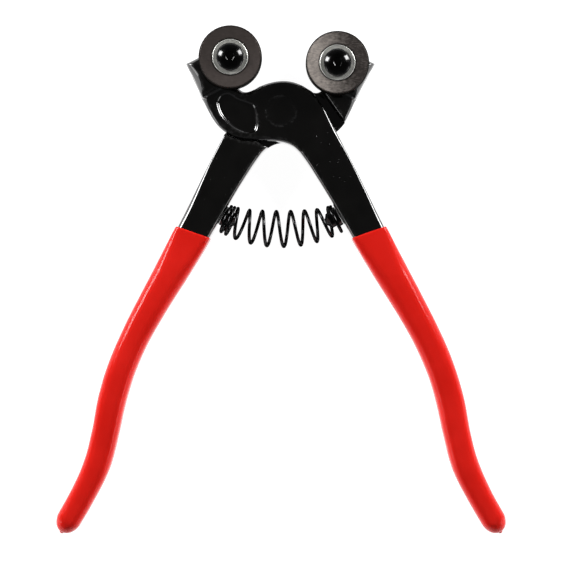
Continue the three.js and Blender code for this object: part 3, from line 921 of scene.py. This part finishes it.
def enamel():
    """Gloss black enamel over forged steel: a slightly wavy skin, a few dust nibs in patches, and thinner
    paint on edges."""
    n = Nodes("black_enamel", Coat_Weight=1.0, Coat_Roughness=0.06, Specular_IOR_Level=0.5)
    wave = n.noise(260, 2)
    grain = n.noise(2600, 2)
    nibs = n.spots(640, 0.11)
    some = n.span(n.noise(60, 1), 0.52, 0.6, 0, 1)
    nibs = n.maths("MULTIPLY", nibs, some)
    worn = n.maths("MULTIPLY", n.edge(), n.span(n.noise(700, 3), 0.45, 0.62, 0, 1))
    colour = n.mix(n.span(n.noise(140), 0.3, 0.7, 0, 1), (0.0014, 0.0013, 0.0011), (0.003, 0.0028, 0.0025))
    colour = n.mix(n.maths("MULTIPLY", worn, 0.16), colour, (0.12, 0.12, 0.12))
    rough = n.maths("ADD", n.span(wave, 0.3, 0.7, 0.11, 0.19), n.maths("MULTIPLY", worn, 0.12))
    normal = n.bump(wave, 0.00012)
    normal = n.bump(grain, 0.000006, 1.0, normal)
    normal = n.bump(nibs, 0.00016, 1.0, normal)
    return n.paint(Base_Color=colour, Roughness=rough, Normal=normal)


def black_oxide():
    """Oiled black steel of the screws and posts, rubbed a little brighter on its edges."""
    n = Nodes("black_oxide", Metallic=1.0, Specular_Tint=(0.15, 0.15, 0.15, 1))
    rub = n.maths("MULTIPLY", n.edge(), n.span(n.noise(1500, 3), 0.4, 0.65, 0.1, 1))
    colour = n.mix(n.span(n.noise(500), 0.35, 0.65, 0, 1), (0.03, 0.03, 0.03), (0.045, 0.045, 0.045))
    colour = n.mix(n.maths("MULTIPLY", rub, 0.35), colour, (0.12, 0.12, 0.125))
    rough = n.span(n.noise(900, 3), 0.3, 0.7, 0.1, 0.17)
    normal = n.bump(n.noise(2200, 3), 0.000006)
    return n.paint(Base_Color=colour, Roughness=rough, Normal=normal)


def spring_wire():
    """Drawn spring wire with a thin black finish and fine lengthwise marks."""
    n = Nodes("spring_wire", Metallic=1.0, Specular_Tint=(0.12, 0.12, 0.12, 1))
    marks = n.noise(1800, 4)
    colour = n.mix(n.span(marks, 0.4, 0.68, 0, 1), (0.02, 0.02, 0.021), (0.05, 0.05, 0.05))
    rough = n.span(n.noise(600), 0.3, 0.7, 0.14, 0.26)
    return n.paint(Base_Color=colour, Roughness=rough, Normal=n.bump(marks, 0.00002))


def red_pvc():
    """Glossy dipped vinyl: deep red, a soft skin with slow sags, fine texture and pin-sized air holes."""
    n = Nodes("red_vinyl", Specular_IOR_Level=0.14, Subsurface_Weight=0.06, Subsurface_Scale=0.0012)
    tone = n.span(n.noise(60, 3), 0.3, 0.7, 0, 1)
    colour = n.mix(tone, (0.71, 0.013, 0.008), (0.81, 0.018, 0.012))
    holes = n.maths("MULTIPLY", n.spots(150, 0.07), n.span(n.noise(45, 1), 0.55, 0.6, 0, 1))
    # Painted shade: the pinholes are painted a dark red, as shade inside them.
    colour = n.mix(n.maths("MULTIPLY", holes, 0.8), colour, (0.12, 0.003, 0.003))
    # Painted highlight: rounded edges and the rolled lip are painted a paler red.
    colour = n.mix(n.maths("MULTIPLY", n.edge(), 0.25), colour, (0.85, 0.03, 0.03))
    rough = n.span(n.noise(240, 4), 0.3, 0.7, 0.13, 0.22)
    normal = n.bump(n.noise(110, 2), 0.00012)
    normal = n.bump(n.noise(3200, 2), 0.000006, 1.0, normal)
    normal = n.bump(holes, 0.0001, -1.0, normal)
    return n.paint(Base_Color=colour, Roughness=rough, Normal=normal)


# Where the painted dark ring on a wheel's bevelled rim (painted shade) starts and ends, in mm in from the
# rim.
RIM_SHADE_IN = 0.5
RIM_SHADE_OUT = 0.35


def carbide(name, centre, dark, light, rough_low, rough_high, lit_side):
    """Ground tungsten carbide: fine crossing grinding marks, with painted shade on its rounded edges and a
    painted dark ring on the bevelled rim. The finish is rougher towards a given direction in the plane of the
    wheel, and painted paler there as painted light, with random patches."""
    n = Nodes(name, Metallic=0.9, Specular_IOR_Level=0.2, Specular_Tint=(0.2, 0.2, 0.2, 1))
    shift = n.add("ShaderNodeVectorMath", {"operation": "SUBTRACT"})
    n.into(shift.inputs[0], n.place)
    shift.inputs[1].default_value = (centre[0] * MM, centre[1] * MM, 0)
    stretch = n.add("ShaderNodeMapping", Vector=shift.outputs[0])
    stretch.inputs["Rotation"].default_value = (0, 0, 0.5)
    stretch.inputs["Scale"].default_value = (0.12, 1, 1)
    marks = n.noise(5200, 3, 0.6, stretch.outputs[0])
    cross = n.add("ShaderNodeMapping", Vector=shift.outputs[0])
    cross.inputs["Rotation"].default_value = (0, 0, 2.1)
    cross.inputs["Scale"].default_value = (0.1, 1, 1)
    marks_too = n.noise(3600, 3, 0.6, cross.outputs[0])
    marks = n.maths("ADD", n.maths("MULTIPLY", marks, 0.6), n.maths("MULTIPLY", marks_too, 0.4))
    across = n.add("ShaderNodeVectorMath", {"operation": "DOT_PRODUCT"})
    n.into(across.inputs[0], shift.outputs[0])
    across.inputs[1].default_value = (lit_side[0], lit_side[1], 0)
    reach = WHEEL_R * MM
    # Painted light: the colour is painted paler towards one side of the wheel, as if light fell on it from
    # there, plus random patches.
    pale = n.span(across.outputs["Value"], -reach * 0.5, reach * 0.6, 0, 1)
    patchy = n.span(n.noise(900, 4, 0.65), 0.35, 0.65, -0.2, 0.2)
    pale = n.maths("ADD", pale, patchy)
    tone = n.maths("ADD", n.maths("MULTIPLY", pale, 0.75), n.span(marks, 0.35, 0.65, -0.3, 0.32))
    colour = n.mix(n.span(tone, 0, 1, 0, 1), dark, light)
    # Painted shade: the wheel's rounded edges are painted near black.
    colour = n.mix(n.maths("MULTIPLY", n.edge(), 0.85), colour, (0.02, 0.018, 0.017))
    flat = n.add("ShaderNodeVectorMath", {"operation": "MULTIPLY"})
    n.into(flat.inputs[0], shift.outputs[0])
    flat.inputs[1].default_value = (1, 1, 0)
    radius = n.add("ShaderNodeVectorMath", {"operation": "LENGTH"})
    n.into(radius.inputs[0], flat.outputs[0])
    # Painted shade: a dark ring painted round the bevelled rim.
    rim_shade = n.span(radius.outputs["Value"], reach - RIM_SHADE_IN * MM, reach - RIM_SHADE_OUT * MM, 0, 1)
    colour = n.mix(rim_shade, colour, (0.012, 0.011, 0.01))
    rough = n.maths("ADD", n.span(pale, 0, 1, rough_low, rough_high), n.span(marks, 0.3, 0.7, -0.05, 0.06))
    return n.paint(Base_Color=colour, Roughness=rough, Normal=n.bump(marks, 0.000012))


def zinc():
    """Turned and zinc-plated hub: a finely speckled bright skin, polished a little on its edges."""
    n = Nodes("zinc_plate", Metallic=0.95)
    speckle = n.noise(1900, 3)
    tone = n.span(n.noise(600, 2), 0.3, 0.7, 0, 1)
    colour = n.mix(tone, (0.74, 0.74, 0.69), (0.9, 0.9, 0.84))
    colour = n.mix(n.maths("MULTIPLY", n.edge(), 0.6), colour, (0.86, 0.86, 0.84))
    rough = n.span(speckle, 0.3, 0.7, 0.4, 0.52)
    return n.paint(Base_Color=colour, Roughness=rough, Normal=n.bump(speckle, 0.00002))


# ---------------------------------------------------------------------------------------------------
# Build
# ---------------------------------------------------------------------------------------------------

enamel_skin = enamel()
oxide_skin = black_oxide()
wire_skin = spring_wire()
vinyl_skin = red_pvc()
zinc_skin = zinc()
# Lit and shaded copies of one carbide finish, as painted light: the left wheel painted dark, the right one
# painted far paler.
WHEEL_SKINS = {
    "left": carbide("carbide_left_painted_shade", LEFT_SCREW, (0.2, 0.168, 0.155), (0.26, 0.218, 0.202), 0.33, 0.4,
                    (0.3, -0.95)),
    "right": carbide("carbide_right_painted_light", RIGHT_SCREW, (0.16, 0.138, 0.128), (0.88, 0.79, 0.72), 0.34, 0.5,
                     (-0.97, -0.1)),
}

ride_as(lever("front_lever_forging", 1), "front_half", "front_lever", enamel_skin)
ride_as(lever("back_lever_forging", -1), "back_half", "back_lever", enamel_skin)
ride_as(rivet("pivot_rivet_turned"), "front_half", "pivot_rivet", enamel_skin)

# Each side of the tool: the handle there and the jaw there belong to different levers.
for hand, sign, jaw_body, handle_body, screw_at in (
    ("left", -1, "front_half", "back_half", LEFT_SCREW),
    ("right", 1, "back_half", "front_half", RIGHT_SCREW),
):
    ride_as(grip(hand + "_grip_sleeve", sign), handle_body, hand + "_grip", vinyl_skin)
    ride_as(post(hand + "_post_turned", sign), handle_body, hand + "_spring_post", oxide_skin)
    ride_as(wheel(hand + "_wheel_ground", screw_at), hand + "_cutter", hand + "_wheel",
            WHEEL_SKINS[hand])
    ride_as(hub(hand + "_hub_turned", screw_at), jaw_body, hand + "_hub", zinc_skin)
    ride_as(screw(hand + "_screw_turned", screw_at), jaw_body, hand + "_screw", oxide_skin)

coil = spring("return_spring_coil")
coil.data.materials.append(wire_skin)
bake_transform(coil)
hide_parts("return_spring")

# ---------------------------------------------------------------------------------------------------
# Floor, light and camera
# ---------------------------------------------------------------------------------------------------

FLOOR_HALF = 3.0
FLOOR_GAP = 0.00001
CAMERA_AT = (0.00245, -0.06195, 0.6619)
CAMERA_LENS = 116.07
SENSOR = 36.0
SOFTBOX_SIZE = 0.3
SOFTBOX_FAR = 0.85
SOFTBOX_RADIANCE = 26.0
PANEL_SIZE = 0.28
PANEL_RADIANCE = 2.4
LIGHT_TARGET = (0, -0.02, 0.01)
WALL_STRENGTH = 3.0
CEILING_LEVEL = 0.015


def floor():
    """A plain pale table, lit mostly by its own glow, so that it stays even and nearly free of shadow."""
    mesh = bpy.data.meshes.new("table_top")
    h = FLOOR_HALF
    z = -FLOOR_GAP
    mesh.from_pydata([(-h, -h, z), (h, -h, z), (h, h, z), (-h, h, z)], [], [(0, 1, 2, 3)])
    table = bpy.data.objects.new("table_top", mesh)
    bpy.context.scene.collection.objects.link(table)
    n = Nodes("table_white", Roughness=0.6, Specular_IOR_Level=0.1)
    shade = n.span(n.noise(3, 2), 0.3, 0.7, 0.34, 0.37)
    colour = n.add("ShaderNodeCombineColor", Red=shade, Green=shade, Blue=shade).outputs[0]
    n.paint(Base_Color=colour)
    n.shader.inputs["Emission Color"].default_value = (1, 1, 1, 1)
    n.shader.inputs["Emission Strength"].default_value = 0.97
    mesh.materials.append(n.material)


def surround():
    """Soft studio: white walls near the table, falling to a dim ceiling."""
    world = bpy.data.worlds.new("studio")
    bpy.context.scene.world = world
    world.use_nodes = True
    nodes, links = world.node_tree.nodes, world.node_tree.links
    place = nodes.new("ShaderNodeTexCoord")
    axes = nodes.new("ShaderNodeSeparateXYZ")
    ramp = nodes.new("ShaderNodeValToRGB")
    links.new(place.outputs["Generated"], axes.inputs[0])
    links.new(axes.outputs["Z"], ramp.inputs[0])
    stops = ramp.color_ramp
    stops.elements[0].position = 0.0
    stops.elements[0].color = (1, 1, 1, 1)
    stops.elements[1].position = 1.0
    stops.elements[1].color = (CEILING_LEVEL, CEILING_LEVEL, CEILING_LEVEL, 1)
    for position, level in ((0.03, 0.8), (0.08, 0.22), (0.16, 0.05), (0.6, CEILING_LEVEL)):
        stops.elements.new(position).color = (level, level, level * 1.02, 1)
    background = nodes["Background"]
    links.new(ramp.outputs[0], background.inputs["Color"])
    background.inputs["Strength"].default_value = WALL_STRENGTH


def softbox(name, azimuth, elevation, radiance, size=SOFTBOX_SIZE, far=SOFTBOX_FAR):
    """A square light aimed at the tool. Azimuth is from +X towards +Y, in degrees."""
    data = bpy.data.lights.new(name, "AREA")
    data.shape = "SQUARE"
    data.size = size
    data.energy = radiance * math.pi * size * size
    lamp = bpy.data.objects.new(name, data)
    bpy.context.scene.collection.objects.link(lamp)
    a, e = math.radians(azimuth), math.radians(elevation)
    target = Vector(LIGHT_TARGET)
    away = Vector((math.cos(a) * math.cos(e), math.sin(a) * math.cos(e), math.sin(e)))
    lamp.location = target + away * far
    lamp.rotation_mode = "QUATERNION"
    lamp.rotation_quaternion = away.to_track_quat("Z", "Y")
    lamp.visible_camera = False


floor()
surround()
softbox("softbox_left", azimuth=154, elevation=24, radiance=SOFTBOX_RADIANCE)
softbox("softbox_right", azimuth=33, elevation=24, radiance=SOFTBOX_RADIANCE)
softbox("panel_left", azimuth=204, elevation=7, radiance=PANEL_RADIANCE, size=PANEL_SIZE)
softbox("panel_right", azimuth=-24, elevation=7, radiance=PANEL_RADIANCE, size=PANEL_SIZE)

camera_data = bpy.data.cameras.new("camera")
camera_data.sensor_width = SENSOR
camera_data.lens = CAMERA_LENS
camera_data.clip_start = 0.01
camera_data.clip_end = 20
camera = bpy.data.objects.new("camera", camera_data)
bpy.context.scene.collection.objects.link(camera)
camera.location = CAMERA_AT
bpy.context.scene.camera = camera
bpy.context.scene.view_settings.view_transform = "Standard"
